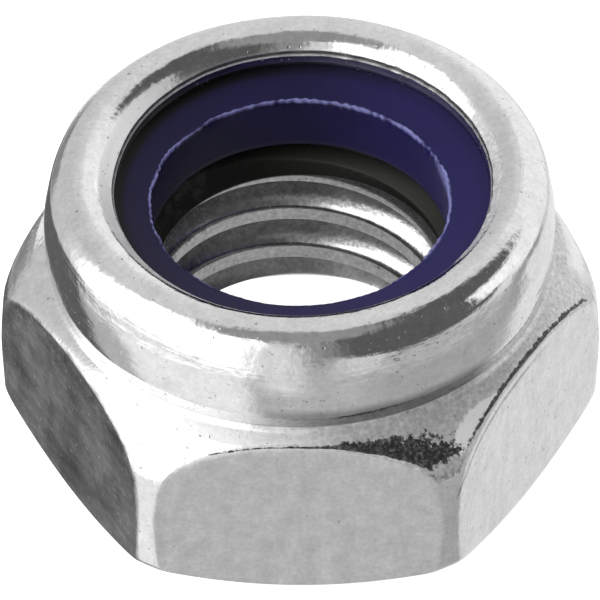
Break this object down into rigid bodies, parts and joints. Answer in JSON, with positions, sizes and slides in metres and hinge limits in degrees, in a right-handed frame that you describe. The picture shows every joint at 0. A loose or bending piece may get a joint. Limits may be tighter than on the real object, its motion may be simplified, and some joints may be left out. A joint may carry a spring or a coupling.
{
  "type": "nylon insert lock nut",
  "caption": "Hexagon lock nut whose rolled collar holds a blue nylon ring above the thread.",
  "frame": {"origin": "centre of the flat bearing face, on the thread's axis", "axes": "+Z along the thread's axis from the bearing face to the collar, flats of the hexagon towards -Y and +Y, corners on the X axis"},
  "size_m": [0.0091, 0.008, 0.0049],
  "materials": {
    "zinc_plated_steel": "bright zinc plating, smooth, slightly mottled, with small pits",
    "blue_nylon": "smooth dark blue nylon with a paler torn edge round the bore"
  },
  "bodies": {
    "root": {"nut_body": "zinc_plated_steel", "nylon_insert": "blue_nylon"}
  },
  "joints": []
}
